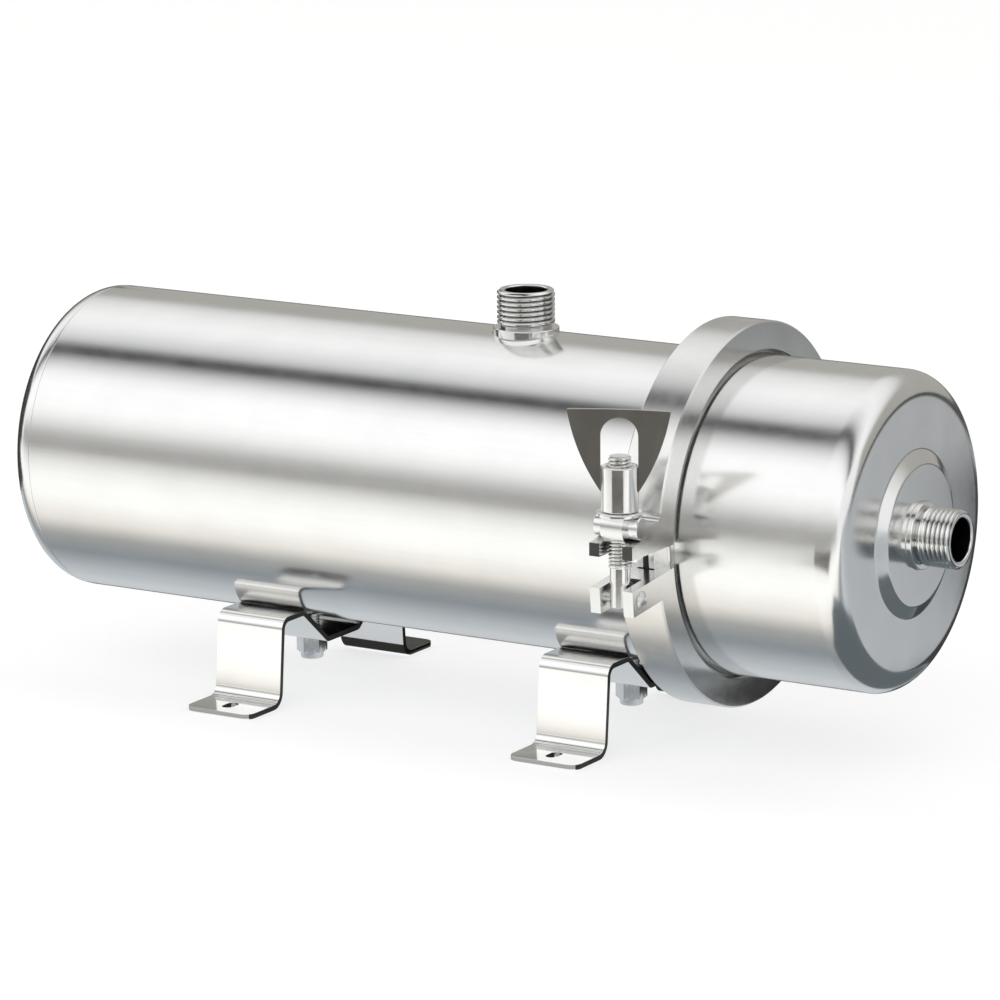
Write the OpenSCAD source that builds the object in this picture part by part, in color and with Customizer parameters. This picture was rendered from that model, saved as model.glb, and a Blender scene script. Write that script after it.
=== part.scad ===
// Ultrafiltration water purifier: a stainless barrel and cap joined by a
// hinged clamp with a swing bolt, on two sheet brackets, with a hollow
// fibre cartridge inside. Millimetres. +X runs from the closed end to the
// cap, Z is up, Z = 0 is the mounting surface and X = 0 is the middle of
// the closed-end bracket.

/* [Housing] */
// Outer diameter of the barrel and of the cap
tube_od = 114.3; // [110:0.1:120]
// Wall thickness of the barrel and of the cap
tube_wall = 1.2; // [0.8:0.1:1.6]
// Height of the barrel axis above the mounting surface
axis_height = 84; // [80:0.5:95]
// From the closed-end bracket to the weld seam of the closed end
closed_reach = 87; // [75:1:110]
// From the clamp-end bracket to the flange joint
joint_reach = 42.3; // [38:0.1:60]
// From the flange joint to the flat face of the cap
cap_length = 71.5; // [55:0.5:100]
// Outside radius of the rounded edge of each pressed end
end_fillet = 9.25; // [6:0.25:12]
// Straight skirt of the closed end next to its weld seam
end_skirt = 0.5; // [0.2:0.1:5]
// Radius of the raised disc round an end port, at the foot of its ramp
disc_radius = 29.8; // [24:0.1:36]
// Width of the ramp round the raised disc
disc_ramp = 4.6; // [3:0.1:6]
// Height of the raised disc above the flat face
disc_rise = 2.8; // [1:0.1:4]

/* [Ports] */
// Outer diameter of the pipe thread, G 1/2
thread_od = 20.955; // [20.9:0.005:21]
// Diameter of the water passage in a nipple
port_bore = 15.1; // [12:0.1:16]
// Length of a nipple above its collar
thread_length = 13.7; // [11:0.1:20]
// Diameter of the collar at the foot of a nipple
collar_od = 24; // [22.5:0.1:28]
// Height of the collar
collar_height = 2; // [1:0.1:4]
// Height of the plain relief between collar and thread
relief_height = 0.9; // [0.8:0.1:3]
// Depth of the relief below the thread's outside
relief_depth = 1.2; // [0.6:0.1:1.6]
// Diameter of the plain spigot that is welded into the shell
spigot_od = 19; // [17.5:0.1:20]
// From the closed-end bracket to the outlet port
outlet_reach = 94.8; // [60:0.1:120]

/* [Flanges] */
// Outer radius of the clamp flanges
flange_radius = 63.5; // [61.5:0.1:64.5]
// Thickness of a flange at its rim
rim_thickness = 2.3; // [1.6:0.1:3]
// Length of a flange with its neck
flange_length = 6.5; // [5.5:0.1:7]
// Slope of the clamping cone, degrees
cone_angle = 20; // [15:1:22]
// Thickness of the gasket between the flanges
gasket_thickness = 2.2; // [1.6:0.1:2.6]
// Radius of the gasket's bead section
bead_radius = 2.1; // [1.6:0.1:2.4]
// Radius of the bead circle
bead_circle = 60; // [59.5:0.1:60.5]

/* [Clamp] */
// Outer radius of the clamp ring
ring_radius = 69.1; // [67.5:0.1:72]
// Width of the clamp ring
ring_width = 17; // [15.5:0.1:20]
// Radius of the hole that the ring leaves round the tube
ring_hole = 59; // [58.2:0.1:60]
// Chamfer on the ring's outer edges
ring_chamfer = 0.6; // [0.3:0.1:1]
// Thickness of each fork arm
arm_thickness = 3.95; // [3:0.05:5]
// Half of the gap between the parting faces at the hinge
parting_half = 1.1; // [0.6:0.1:2]
// Angle by which the lower half stops short at the front, degrees
lower_relief = 5.84; // [3:0.01:8]
// Height of each lug
lug_height = 9.1; // [8:0.1:11]
// From the barrel axis to the swing bolt
bolt_reach = 81; // [80:0.1:86]
// Length of the lugs past the swing bolt
lug_nose = 6.4; // [6:0.1:10]
// Fillet between the upper lug and the ring
lug_fillet = 3.5; // [2:0.1:5]
// From the barrel axis to the rear hinge pin
hinge_reach = 77; // [76.5:0.1:82]
// Radius of the hinge knuckles
knuckle_radius = 5.8; // [5:0.1:6.5]
// Diameter of the hinge pin
hinge_pin_d = 5; // [4:0.1:6]

/* [Swing bolt] */
// Diameter of the bolt thread, M8
bolt_d = 8; // [7.9:0.01:8]
// Diameter of the plain shank under the thread
shank_d = 7.1; // [6.5:0.1:7.5]
// Top of the bolt above the barrel axis
bolt_top = 35.9; // [34:0.1:44]
// Where the thread ends, relative to the barrel axis
thread_foot = -3; // [-6:0.1:0]
// From the pivot pin to the bolt's lower end
bolt_foot = 3.8; // [3.5:0.1:4.4]
// Diameter of the pivot pin
pivot_pin_d = 4; // [3.5:0.1:4.5]
// Axis of the trunnion above the barrel axis
trunnion_height = 11.1; // [10.8:0.1:13]
// Diameter of the trunnion's two journals
journal_d = 8; // [7.6:0.1:8.4]
// Overall length of the trunnion
trunnion_length = 17.4; // [16:0.1:23]
// Diameter of the trunnion's drilled middle
hub_d = 12.4; // [11.6:0.1:12.8]
// Outer diameter of the washer under the nut
washer_d = 16; // [14:0.1:18]
// Thickness of the washer
washer_thickness = 1.4; // [1:0.1:2]
// Diameter of the round nut
nut_d = 13; // [12:0.1:14]
// Height of the round nut
nut_height = 15.9; // [13:0.1:18]
// Width of the wing plate along its top
wing_width = 35.8; // [30:0.1:42]
// Height of the wing plate
wing_height = 28.9; // [25:0.1:34]
// Height of the wing plate's lower tips above the nut's foot
wing_lift = 6.6; // [4:0.1:8]
// Thickness of the wing plate
wing_thickness = 1.5; // [1:0.1:2]
// How far the wing's sides bulge out
wing_bulge = 1.7; // [1:0.1:3]
// Height of the bridge over the wing's window
wing_bridge = 2.9; // [2:0.1:4]
// Angle at which each wing is folded forward, degrees
wing_fold = 7; // [0:1:20]
// Half of the distance between the wing's folds
fold_half = 5; // [4:0.1:6]
// Turn of the wing plate about the bolt, degrees
wing_turn = 21; // [0:1:45]

/* [Brackets] */
// Distance between the middles of the two brackets
bracket_pitch = 138.2; // [125:0.1:150]
// Width of a bracket
bracket_width = 28.4; // [24:0.1:32]
// Thickness of the bracket sheet
sheet = 2; // [1.5:0.1:2.5]
// Distance between the outer faces of the legs at the floor
leg_span = 87.8; // [82:0.1:96]
// Slope by which the legs stand apart towards the floor, degrees
leg_splay = 4.9; // [0:0.1:8]
// Distance between the tips of the feet
foot_span = 128; // [120:0.1:136]
// Half of the distance between the two bends that carry the barrel
seat_half = 27.4; // [24:0.1:30]
// Slope of the bracket's channel, degrees
channel_slope = 40; // [35:1:45]
// Gap between the barrel and the floor of the channel
channel_gap = 6.9; // [4:0.05:9]
// Bend radius at the feet, to the middle of the sheet
foot_bend = 5; // [3:0.1:6]
// Bend radius at the shoulders, to the middle of the sheet
shoulder_bend = 3.8; // [3:0.1:6]
// Bend radius where the barrel rests, to the middle of the sheet
seat_bend = 2.5; // [2:0.1:4]
// Corner radius of the feet
foot_corner = 4; // [2:0.1:7]
// Distance between the slots of one bracket
slot_pitch = 110; // [104:0.1:116]
// Width of a screw slot
slot_width = 4.5; // [4:0.1:6]
// Length of a screw slot from end to end
slot_length = 7.5; // [6.5:0.1:9]

/* [Bracket fasteners] */
// Diameter of the welded stud, M6
stud_d = 6; // [5.8:0.01:6]
// Length of stud past its nut
stud_past_nut = 0.4; // [0.2:0.1:5]
// Diameter of the weld collar on the stud
stud_collar_d = 9; // [8:0.1:11]
// Height of the weld collar
stud_collar_height = 1.2; // [0.8:0.1:2]
// Width of the lock nut across its flats
nut_flats = 10; // [9.5:0.1:11]
// Height of the lock nut's hexagon
hex_height = 7.4; // [5:0.1:8]
// Height of the lock nut's collar
lock_collar_height = 2.4; // [1.8:0.1:3]
// Diameter of the lock nut's collar
lock_collar_d = 8.6; // [8.4:0.1:9.2]

/* [Cartridge] */
// Overall length of the cartridge
cartridge_length = 252; // [230:1:252]
// Length of each cartridge head
head_length = 28; // [26:0.5:34]
// Radius of the cartridge cage
cage_radius = 47; // [44:0.1:48]
// Wall of the cartridge cage
cage_wall = 2; // [1.5:0.1:3]
// How deep the cage sits in each head
cage_socket = 10; // [6:0.5:12]
// Number of windows round the cage
cage_windows = 8; // [6:2:10]
// Number of window rows along the cage
cage_rows = 4; // [2:1:6]
// Width of each window in the cage
window_width = 18; // [10:0.5:22]
// Width of the ribs between the rows of windows
cage_rib = 10; // [6:0.5:16]
// Radius of one sheaf of fibres
sheaf_radius = 6.1; // [4:0.1:6.1]
// Distance between neighbouring sheaves
sheaf_pitch = 12.6; // [12.3:0.1:12.8]
// Rings of sheaves round the middle one
sheaf_rings = 3; // [1:1:3]
// Section radius of the head seals
seal_section = 1.65; // [1.4:0.05:2]
// Width of the ring that the cartridge stops against
stop_width = 3; // [2:0.5:5]
// Radial depth of the stop ring
stop_depth = 7; // [5:0.5:9]

/* [Fits] */
// Gap left where one fixed piece seats on another
seat_gap = 0.05; // [0.02:0.01:0.1]
// Radial running clearance of pins and of the nut's thread
running_gap = 0.05; // [0.02:0.01:0.08]
// Radial gap of the trunnion and the washer on the bolt
slide_gap = 0.1; // [0.05:0.01:0.1]
// Gap beside pieces that swing between fork arms
swing_gap = 0.2; // [0.1:0.05:0.3]

/* [Hidden] */
$fn = 96;

tube_r = tube_od / 2;
bore_r = tube_r - tube_wall;
thread_r = thread_od / 2;
port_r = port_bore / 2;
spigot_r = spigot_od / 2;
collar_r = collar_od / 2;
steel = [0.80, 0.80, 0.79];
bright_steel = [0.88, 0.88, 0.87];
// Long enough to cut right through anything it meets
through = 400;
// How far a cutting shape stands past the face it cuts
past = 1;
// Degrees of a sheet's bend that one flat of its arc spans, at most
bend_step = 7.5;

joint_x = bracket_pitch + joint_reach;
barrel_face_x = joint_x - gasket_thickness / 2;
cap_face_x = joint_x + gasket_thickness / 2;
barrel_tube_end = barrel_face_x - flange_length;
cap_depth = cap_length - gasket_thickness / 2 - flange_length;
seam_x = -closed_reach;
end_depth = end_skirt + end_fillet;

mouth_chamfer = 0.8;
nipple_height = collar_height + thread_length;
relief_r = thread_r - relief_depth;

fork_gap = ring_width - 2 * arm_thickness;
// Radial room over the flanges' rims at the bottom of the groove
rim_room = 0.8;
// Metal of the ring left between its groove and the roots of the lugs
lug_root = 1.2;
lug_root_r = flange_radius + rim_room + lug_root;
// Room between the trunnion's hub and the floor of the fork's slot
hub_room = 0.8;
slot_floor = bolt_reach - hub_d / 2 - hub_room;
// Room round the washer in the upper half
washer_room = 0.6;
pivot_z = -(bolt_reach * tan(lower_relief) + (parting_half + lug_height / 2) / cos(lower_relief));
pin_head_overlap = 1.2;
head_height = 1.6;
seat_floor = trunnion_height - journal_d / 2 - seat_gap;
// The seat falls away to the front, so that the journals can swing out over it
seat_fall = 1.25;
hub_flat = journal_d / 2 + seat_gap;
washer_z = trunnion_height + hub_flat;
nut_z = washer_z + washer_thickness + seat_gap;
wing_z = nut_z + wing_lift;

leg_y = leg_span / 2 - sheet / 2 / cos(leg_splay);
foot_y = foot_span / 2;
slope_corner = seat_bend * tan(channel_slope / 2);
seat_centre_z = -sqrt(pow(tube_r + seat_gap + seat_bend + sheet / 2, 2) - seat_half * seat_half);
shoulder_z = axis_height + seat_centre_z + seat_bend;
floor_z = axis_height - tube_r - channel_gap - sheet / 2;
floor_half = seat_half - slope_corner - (shoulder_z - floor_z) / tan(channel_slope);
// Where the middle of the leg's sheet meets the middle of the foot and of the shoulder
leg_foot_y = leg_y - sheet / 2 * tan(leg_splay);
leg_top_y = leg_y - shoulder_z * tan(leg_splay);
stud_room = 0.3;
nut_seat_z = floor_z - sheet / 2;
// Metal left round and over the nylon ring in a lock nut
insert_wall = 0.8;
insert_r = lock_collar_d / 2 - insert_wall;
insert_height = lock_collar_height - insert_wall;

cartridge_x0 = seam_x + stop_width;
cartridge_x1 = cartridge_x0 + cartridge_length;
// Radial room round the cartridge heads
head_room = 0.7;
head_r = bore_r - head_room;
seal_circle = bore_r - seat_gap - seal_section;
groove_r = seal_circle - seal_section - seat_gap;
// Room beside a seal in its groove
seal_side_room = 0.35;
groove_half = seal_section + seal_side_room;
seal_offset = head_length / 4;
face_recess = 2;
potting_length = head_length - cage_socket - face_recess;
cage_length = cartridge_length - 2 * (head_length - cage_socket);
cage_x0 = cartridge_x0 + head_length - cage_socket;

// Plain helpers

function unit(v) = v / norm(v);
function left_of(v) = [-v[1], v[0]];
function turn_at(p, i) =
    let (u = p[i] - p[i - 1], v = p[i + 1] - p[i])
    atan2(u[0] * v[1] - u[1] * v[0], u * v);
function tangent_length(p, r, i) = r[i] * tan(abs(turn_at(p, i)) / 2);
function polar(r, a) = r * [cos(a), sin(a)];

// Lays a shape drawn along +Z onto the barrel axis, pointing to +X
module on_axis(x) {
    translate([x, 0, axis_height]) rotate([0, 90, 0]) children();
}

// Extrudes a profile drawn in Y and Z along X, with Z measured from the barrel axis
module across(x, width) {
    translate([x, 0, axis_height]) rotate([90, 0, 90]) linear_extrude(width) children();
}

// A tube section as a ring of revolution
module tube_ring(r_out, r_in, length) {
    difference() {
        cylinder(r = r_out, h = length);
        translate([0, 0, -past]) cylinder(r = r_in, h = length + 2 * past);
    }
}

// Where the bend at corner i starts, and the middle of its arc
function bend_start(p, r, i) = p[i] - unit(p[i] - p[i - 1]) * tangent_length(p, r, i);
function bend_centre(p, r, i) =
    bend_start(p, r, i) + left_of(unit(p[i] - p[i - 1])) * sign(turn_at(p, i)) * r[i];

// Points at offset d to the left of a bent line, along the bend at corner i
function bend_points(p, r, i, d) =
    let (
        turn = turn_at(p, i),
        centre = bend_centre(p, r, i),
        spoke = (bend_start(p, r, i) - centre) / r[i],
        from = atan2(spoke[1], spoke[0]),
        radius = r[i] - sign(turn) * d,
        steps = ceil(abs(turn) / bend_step)
    )
    [for (k = [0 : steps]) centre + polar(radius, from + turn * k / steps)];

// One face of a bent sheet, offset by d from the middle line with corners p
function sheet_face(p, r, d) =
    let (last = len(p) - 1)
    concat(
        [p[0] + left_of(unit(p[1] - p[0])) * d],
        [for (i = [1 : last - 1]) each bend_points(p, r, i, d)],
        [p[last] + left_of(unit(p[last] - p[last - 1])) * d]
    );

// A bent sheet of thickness t along the corners p, with bend radii r to its middle
module bent_sheet(p, r, t) {
    far_face = sheet_face(p, r, -t / 2);
    polygon(concat(sheet_face(p, r, t / 2), [for (i = [len(far_face) - 1 : -1 : 0]) far_face[i]]));
}

// Housing

module end_outline(r, fillet, depth, foot_r) {
    intersection() {
        union() {
            square([r - fillet, depth]);
            square([r, depth - fillet]);
            translate([r - fillet, depth - fillet]) circle(r = fillet);
            polygon([
                [0, 0],
                [foot_r, 0],
                [foot_r, depth],
                [foot_r - disc_ramp, depth + disc_rise],
                [0, depth + disc_rise]
            ]);
        }
        square([r, depth + disc_rise]);
    }
}

// A pressed end: open rim at Z = 0, flat face at Z = depth, raised disc and port hole
module pressed_end(depth) {
    difference() {
        rotate_extrude() difference() {
            end_outline(tube_r, end_fillet, depth, disc_radius);
            end_outline(bore_r, end_fillet - tube_wall, depth - tube_wall, disc_radius - tube_wall / 2);
        }
        cylinder(r = spigot_r + seat_gap, h = depth + disc_rise + past);
    }
}

// A clamp flange: gasket face at Z = 0, neck towards +Z
module clamp_flange() {
    cone_foot = rim_thickness + (flange_radius - tube_r) * tan(cone_angle);
    rotate_extrude() difference() {
        polygon([
            [bore_r, 0],
            [flange_radius, 0],
            [flange_radius, rim_thickness],
            [tube_r, cone_foot],
            [tube_r, flange_length],
            [bore_r, flange_length]
        ]);
        translate([bead_circle, -gasket_thickness / 2]) circle(r = bead_radius + seat_gap);
    }
}

module barrel_tube() {
    color(steel) difference() {
        on_axis(seam_x) tube_ring(tube_r, bore_r, barrel_tube_end - seam_x);
        translate([outlet_reach, 0, axis_height]) cylinder(r = spigot_r + seat_gap, h = through);
    }
}

module barrel_end() {
    color(steel) on_axis(seam_x) mirror([0, 0, 1]) pressed_end(end_depth);
}

module barrel_flange() {
    color(steel) on_axis(barrel_face_x) mirror([0, 0, 1]) clamp_flange();
}

module cap_flange() {
    color(steel) on_axis(cap_face_x) clamp_flange();
}

module cap_shell() {
    color(steel) on_axis(cap_face_x + flange_length) pressed_end(cap_depth);
}

module flange_gasket() {
    color([0.12, 0.12, 0.12]) on_axis(joint_x) rotate_extrude() {
        translate([bore_r, -gasket_thickness / 2])
            square([flange_radius - bore_r - seat_gap, gasket_thickness]);
        translate([bead_circle, 0]) circle(r = bead_radius);
    }
}

// Ports

// A threaded nipple: collar seat at Z = 0, spigot below it
module nipple(spigot_depth, collar_foot) {
    rotate_extrude() polygon([
        [port_r, -spigot_depth],
        [spigot_r, -spigot_depth],
        [spigot_r, -collar_foot],
        [collar_r, -collar_foot],
        [collar_r, collar_height],
        [relief_r, collar_height],
        [relief_r, collar_height + relief_height],
        [thread_r, collar_height + relief_height + relief_depth],
        [thread_r, nipple_height - mouth_chamfer],
        [thread_r - mouth_chamfer, nipple_height],
        [port_r + mouth_chamfer / 2, nipple_height],
        [port_r, nipple_height - mouth_chamfer / 2]
    ]);
}

module outlet_nipple() {
    saddle_drop = tube_r - sqrt(tube_r * tube_r - collar_r * collar_r);
    color(bright_steel) difference() {
        translate([outlet_reach, 0, axis_height + tube_r]) nipple(tube_wall + saddle_drop, saddle_drop);
        difference() {
            on_axis(0) cylinder(r = tube_r + seat_gap, h = through, center = true);
            translate([outlet_reach, 0, axis_height]) cylinder(r = spigot_r, h = through);
        }
    }
}

module inlet_nipple() {
    color(bright_steel) on_axis(joint_x + cap_length + disc_rise) nipple(tube_wall, 0);
}

module drain_nipple() {
    color(bright_steel) on_axis(seam_x - end_depth - disc_rise) mirror([0, 0, 1]) nipple(tube_wall, 0);
}

// Clamp

function groove_half_width(r) =
    gasket_thickness / 2 + rim_thickness + (flange_radius - r) * tan(cone_angle) + seat_gap;

module clamp_ring() {
    root_r = flange_radius + rim_room;
    mouth_r = ring_hole - past;
    on_axis(joint_x) rotate_extrude() difference() {
        polygon([
            [ring_hole, -ring_width / 2],
            [ring_radius - ring_chamfer, -ring_width / 2],
            [ring_radius, -ring_width / 2 + ring_chamfer],
            [ring_radius, ring_width / 2 - ring_chamfer],
            [ring_radius - ring_chamfer, ring_width / 2],
            [ring_hole, ring_width / 2]
        ]);
        polygon([
            [mouth_r, -groove_half_width(mouth_r)],
            [root_r, -groove_half_width(root_r)],
            [root_r, groove_half_width(root_r)],
            [mouth_r, groove_half_width(mouth_r)]
        ]);
    }
}

// Left faces of the two outer hinge knuckles
knuckle_places = [joint_x - ring_width / 2, joint_x + ring_width / 2 - arm_thickness];

// The slot that makes a fork of a lug, open to the front
module fork_slot() {
    translate([joint_x - fork_gap / 2, -through, -through])
        cube([fork_gap, through - slot_floor, 3 * through]);
}

// Fillet between the upper lug's top at height z and the outside of the ring
module lug_fillet_shape(z) {
    centre_y = -sqrt(pow(ring_radius + lug_fillet, 2) - pow(z + lug_fillet, 2));
    share = ring_radius / (ring_radius + lug_fillet);
    difference() {
        polygon([
            [centre_y, z],
            [-ring_hole, z],
            [centre_y * share, (z + lug_fillet) * share],
            [centre_y, z + lug_fillet]
        ]);
        translate([centre_y, z + lug_fillet]) circle(r = lug_fillet);
    }
}

upper_tip = -(bolt_reach + lug_nose);

module upper_lug_profile() {
    difference() {
        union() {
            translate([upper_tip, parting_half])
                square([-upper_tip - lug_root_r, trunnion_height - parting_half]);
            lug_fillet_shape(trunnion_height);
        }
        circle(r = lug_root_r);
    }
}

// The trunnion's seat: a quarter round behind the journal, open to the front
module seat_profile() {
    translate([-bolt_reach, trunnion_height]) circle(r = journal_d / 2 + seat_gap);
    polygon([
        [-bolt_reach, seat_floor],
        [-bolt_reach, trunnion_height + past],
        [upper_tip - past, trunnion_height + past],
        [upper_tip - past, seat_floor - seat_fall],
        [upper_tip + lug_nose / 4, seat_floor - seat_fall]
    ]);
}

module lower_lug_profile() {
    tip = -(bolt_reach + lug_nose) / cos(lower_relief);
    rotate(lower_relief) difference() {
        translate([tip, -parting_half - lug_height]) square([-tip - lug_root_r, lug_height]);
        circle(r = lug_root_r);
    }
}

// One hinge knuckle with its link to the ring, on the upper side of the parting plane
module knuckle_profile() {
    difference() {
        union() {
            translate([hinge_reach, 0]) circle(r = knuckle_radius);
            translate([lug_root_r, parting_half])
                square([hinge_reach - lug_root_r, knuckle_radius - parting_half]);
        }
        circle(r = lug_root_r);
    }
}

module upper_side() {
    across(joint_x - ring_width / 2 - past, ring_width + 2 * past)
        translate([-through / 2, parting_half]) square([through, through]);
}

module lower_side() {
    across(joint_x - ring_width / 2 - past, ring_width + 2 * past) polygon([
        [0, -parting_half],
        [through, -parting_half],
        [through, -through],
        [-through, -through],
        [-through, -parting_half / cos(lower_relief) - through * tan(lower_relief)]
    ]);
}

module clamp_upper_half() {
    middle = fork_gap - 2 * swing_gap;
    color(steel) difference() {
        union() {
            intersection() {
                clamp_ring();
                upper_side();
            }
            across(joint_x - ring_width / 2, ring_width) upper_lug_profile();
            across(joint_x - middle / 2, middle) knuckle_profile();
        }
        fork_slot();
        across(joint_x - ring_width, 2 * ring_width) seat_profile();
        on_bolt(washer_z - washer_room) cylinder(r = washer_d / 2 + washer_room, h = through);
        hinge_pin_hole();
    }
}

module clamp_lower_half() {
    color(steel) difference() {
        union() {
            intersection() {
                clamp_ring();
                lower_side();
            }
            across(joint_x - ring_width / 2, ring_width) lower_lug_profile();
            for (x = knuckle_places) across(x, arm_thickness) mirror([0, 1]) knuckle_profile();
        }
        fork_slot();
        hinge_pin_hole();
        translate([joint_x, -bolt_reach, axis_height + pivot_z]) rotate([0, 90, 0])
            cylinder(d = pivot_pin_d + 2 * running_gap, h = 2 * ring_width, center = true);
    }
}

module hinge_pin_hole() {
    translate([joint_x, hinge_reach, axis_height]) rotate([0, 90, 0])
        cylinder(d = hinge_pin_d + 2 * running_gap, h = 2 * ring_width, center = true);
}

// A pin along X, closed by a domed head at each end
module domed_pin(d) {
    head_d = d + 2 * pin_head_overlap;
    dome_r = (head_d * head_d / 4 + head_height * head_height) / (2 * head_height);
    cylinder(d = d, h = ring_width + 2 * seat_gap, center = true);
    for (side = [0, 1]) mirror([0, 0, side]) intersection() {
        translate([0, 0, ring_width / 2 + seat_gap]) cylinder(d = head_d, h = head_height);
        translate([0, 0, ring_width / 2 + seat_gap + head_height - dome_r]) sphere(r = dome_r);
    }
}

module clamp_hinge_pin() {
    color(bright_steel) translate([joint_x, hinge_reach, axis_height]) rotate([0, 90, 0])
        domed_pin(hinge_pin_d);
}

module bolt_pivot_pin() {
    color(bright_steel) translate([joint_x, -bolt_reach, axis_height + pivot_z]) rotate([0, 90, 0])
        domed_pin(pivot_pin_d);
}

// Swing bolt

// Places a shape drawn along +Z on the swing bolt's axis, with Z from the barrel axis
module on_bolt(z) {
    translate([joint_x, -bolt_reach, axis_height + z]) children();
}

module swing_bolt() {
    point_chamfer = 0.6;
    foot_chamfer = 0.8;
    color(bright_steel) difference() {
        union() {
            on_bolt(pivot_z - bolt_foot)
                cylinder(d1 = shank_d - 2 * foot_chamfer, d2 = shank_d, h = foot_chamfer);
            on_bolt(pivot_z - bolt_foot + foot_chamfer)
                cylinder(d = shank_d, h = thread_foot - pivot_z + bolt_foot - foot_chamfer);
            on_bolt(thread_foot) cylinder(d = bolt_d, h = bolt_top - point_chamfer - thread_foot);
            on_bolt(bolt_top - point_chamfer)
                cylinder(d1 = bolt_d, d2 = bolt_d - 2 * point_chamfer, h = point_chamfer);
        }
        on_bolt(pivot_z) rotate([0, 90, 0])
            cylinder(d = pivot_pin_d + 2 * running_gap, h = 2 * ring_width, center = true);
    }
}

module trunnion_bar() {
    edge = 0.4;
    hub_width = fork_gap - 2 * swing_gap;
    color(bright_steel) difference() {
        union() {
            on_bolt(trunnion_height) rotate([0, 90, 0]) {
                cylinder(d = journal_d, h = trunnion_length - 2 * edge, center = true);
                for (side = [0, 1]) mirror([0, 0, side])
                    translate([0, 0, trunnion_length / 2 - edge])
                        cylinder(d1 = journal_d, d2 = journal_d - 2 * edge, h = edge);
            }
            intersection() {
                on_bolt(trunnion_height) rotate([0, 90, 0]) cylinder(d = hub_d, h = hub_width, center = true);
                on_bolt(trunnion_height - hub_d)
                    translate([-hub_d, -hub_d, 0]) cube([2 * hub_d, 2 * hub_d, hub_d + hub_flat]);
            }
        }
        on_bolt(trunnion_height) cylinder(d = bolt_d + 2 * slide_gap, h = 2 * hub_d, center = true);
    }
}

module trunnion_washer() {
    color(bright_steel) on_bolt(washer_z) tube_ring(washer_d / 2, bolt_d / 2 + slide_gap, washer_thickness);
}

module wing_nut_barrel() {
    edge = 0.5;
    color(steel) on_bolt(nut_z) difference() {
        rotate_extrude() polygon([
            [0, 0],
            [nut_d / 2 - edge, 0],
            [nut_d / 2, edge],
            [nut_d / 2, nut_height - edge],
            [nut_d / 2 - edge, nut_height],
            [0, nut_height]
        ]);
        translate([0, 0, -past]) cylinder(d = bolt_d + 2 * running_gap, h = nut_height + 2 * past);
    }
}

// Outline of the wing: flat top, bulging sides that run in to the nut, U-shaped window
module wing_outline() {
    foot_half = nut_d / 2;
    top_half = wing_width / 2;
    chord = norm([top_half - foot_half, wing_height]);
    side_r = (chord * chord / 4 + wing_bulge * wing_bulge) / (2 * wing_bulge);
    inward = [-wing_height, top_half - foot_half] / chord;
    centre = [(top_half + foot_half) / 2, wing_height / 2] + inward * (side_r - wing_bulge);
    window_half = nut_d / 2 + seat_gap;
    difference() {
        intersection() {
            translate([-top_half, 0]) square([2 * top_half, wing_height]);
            intersection_for (side = [0, 1]) mirror([side, 0]) translate(centre) circle(r = side_r);
        }
        translate([-window_half, -past])
            square([2 * window_half, wing_height + past - wing_bridge - window_half]);
        translate([0, wing_height - wing_bridge - window_half]) circle(r = window_half);
    }
}

module wing_plate() {
    reach = wing_width / 2 - fold_half;
    tip = [fold_half, 0] + polar(reach + past, -wing_fold);
    corners = [[-tip[0], tip[1]], [-fold_half, 0], [fold_half, 0], tip];
    bends = [0, wing_thickness, wing_thickness, 0];
    color([0.45, 0.44, 0.42]) on_bolt(wing_z) rotate(wing_turn) intersection() {
        linear_extrude(wing_height) bent_sheet(corners, bends, wing_thickness);
        rotate([90, 0, 0]) linear_extrude(wing_width, center = true) wing_outline();
    }
}

// Brackets

module bracket_profile() {
    half = [
        [foot_y, sheet / 2],
        [leg_foot_y, sheet / 2],
        [leg_top_y, shoulder_z],
        [seat_half - slope_corner, shoulder_z],
        [floor_half, floor_z]
    ];
    bends = [0, foot_bend, shoulder_bend, seat_bend, seat_bend];
    last = len(half) - 1;
    corners = concat(half, [for (i = [last : -1 : 0]) [-half[i][0], half[i][1]]]);
    radii = concat(bends, [for (i = [last : -1 : 0]) bends[i]]);
    bent_sheet(corners, radii, sheet);
}

module foot_corner_cut(side_x, side_y) {
    size = foot_corner + past;
    translate([side_x * (bracket_width / 2 - foot_corner), side_y * (foot_y - foot_corner), -past])
        linear_extrude(sheet + 2 * past) difference() {
            translate([side_x > 0 ? 0 : -size, side_y > 0 ? 0 : -size]) square(size);
            circle(r = foot_corner);
        }
}

module foot_slot(y) {
    straight = slot_length - slot_width;
    for (end = [-1, 1]) translate([0, y + end * straight / 2, -past])
        cylinder(d = slot_width, h = sheet + 2 * past);
    translate([-slot_width / 2, y - straight / 2, -past]) cube([slot_width, straight, sheet + 2 * past]);
}

module bracket(x) {
    color(bright_steel) translate([x, 0, 0]) difference() {
        translate([-bracket_width / 2, 0, 0]) rotate([90, 0, 90])
            linear_extrude(bracket_width) bracket_profile();
        for (side_x = [-1, 1], side_y = [-1, 1]) foot_corner_cut(side_x, side_y);
        for (side = [-1, 1]) foot_slot(side * slot_pitch / 2);
        translate([0, 0, floor_z - sheet]) cylinder(r = stud_d / 2 + stud_room, h = 2 * sheet);
    }
}

module closed_end_bracket() {
    bracket(0);
}

module clamp_end_bracket() {
    bracket(bracket_pitch);
}

// Repeats a fastener under the middle of each bracket
module at_brackets(z) {
    for (x = [0, bracket_pitch]) translate([x, 0, z]) children();
}

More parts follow.
